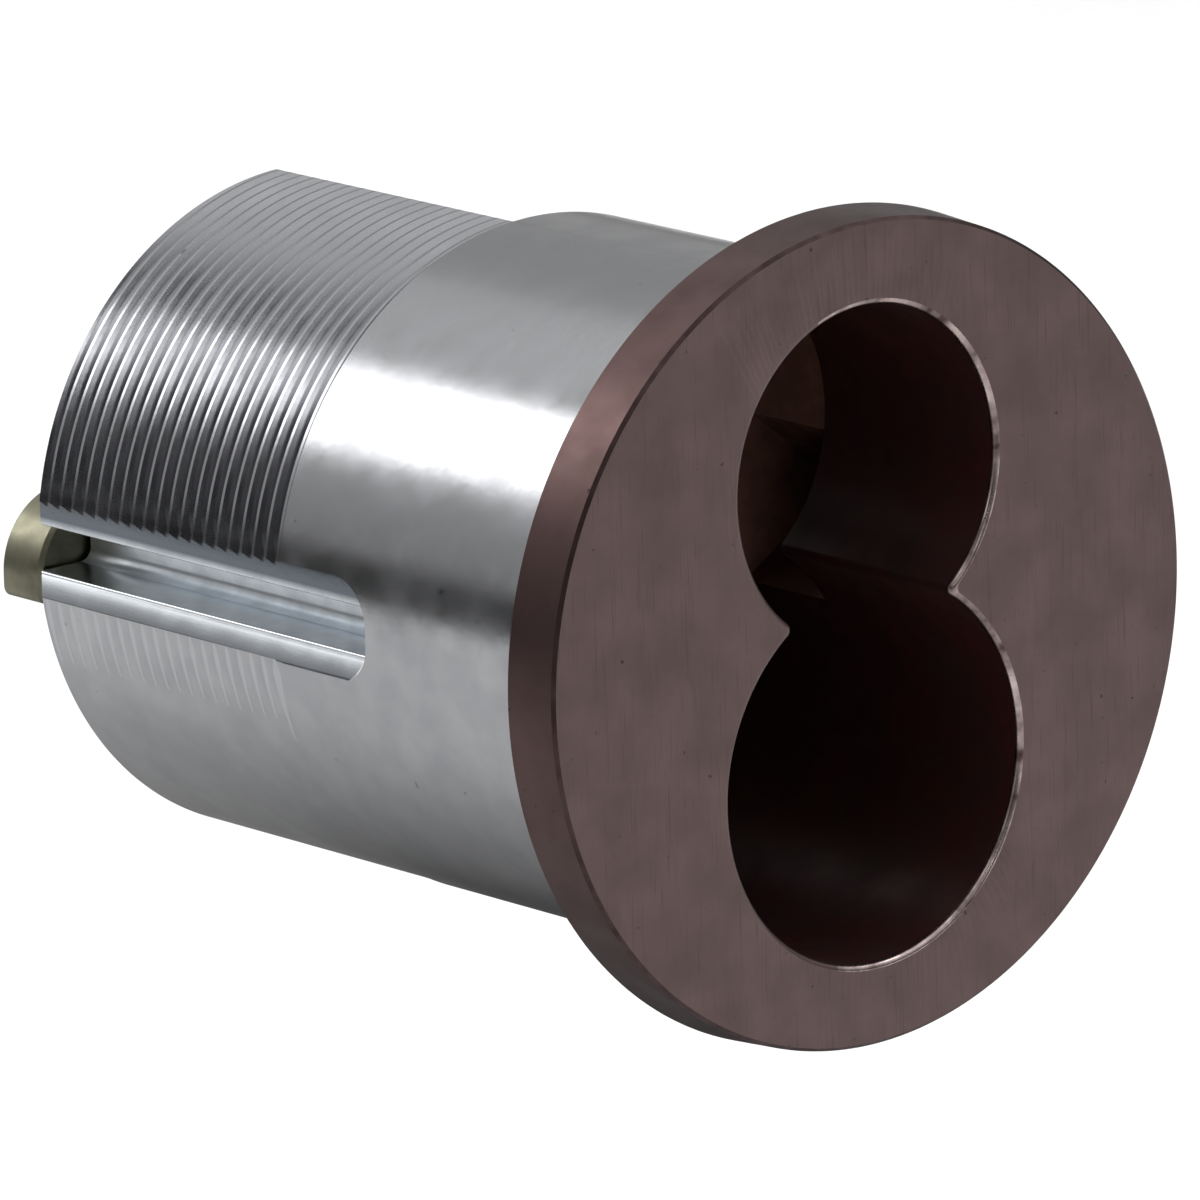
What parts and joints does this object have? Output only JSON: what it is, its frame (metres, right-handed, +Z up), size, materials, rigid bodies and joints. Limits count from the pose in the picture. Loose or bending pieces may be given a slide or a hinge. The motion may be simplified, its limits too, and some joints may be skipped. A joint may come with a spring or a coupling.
{
  "type": "mortise cylinder",
  "caption": "Mortise lock cylinder body with a figure-of-eight bore for an interchangeable core, clamp-screw slots in its flanks, a part-threaded barrel and a turning cam.",
  "frame": {"origin": "centre of the seat behind the head, on the axis of the barrel", "axes": "+Y back along the barrel from the head to the cam, +Z up, +X to the right seen from the front"},
  "size_m": [0.0352, 0.0401, 0.0352],
  "materials": {
    "housing": "satin nickel on the barrel, brushed dark oil-rubbed bronze on the head and in the bore",
    "throw_member": "turned, unplated",
    "drive_pin": "ground",
    "cam": "tumbled, dull nickel",
    "cam_screw": "zinc plated"
  },
  "bodies": {
    "housing": {"housing": "housing"},
    "driver": {"throw_member": "throw_member", "drive_pin_left": "drive_pin", "drive_pin_right": "drive_pin", "cam": "cam", "cam_screw_lower": "cam_screw", "cam_screw_upper": "cam_screw"}
  },
  "joints": [
    {"name": "cam_turn", "type": "hinge", "parent": "housing", "child": "driver", "pos_m": [0, 0.0345, -0.00587], "axis": [0, 1, 0], "continuous": true}
  ]
}
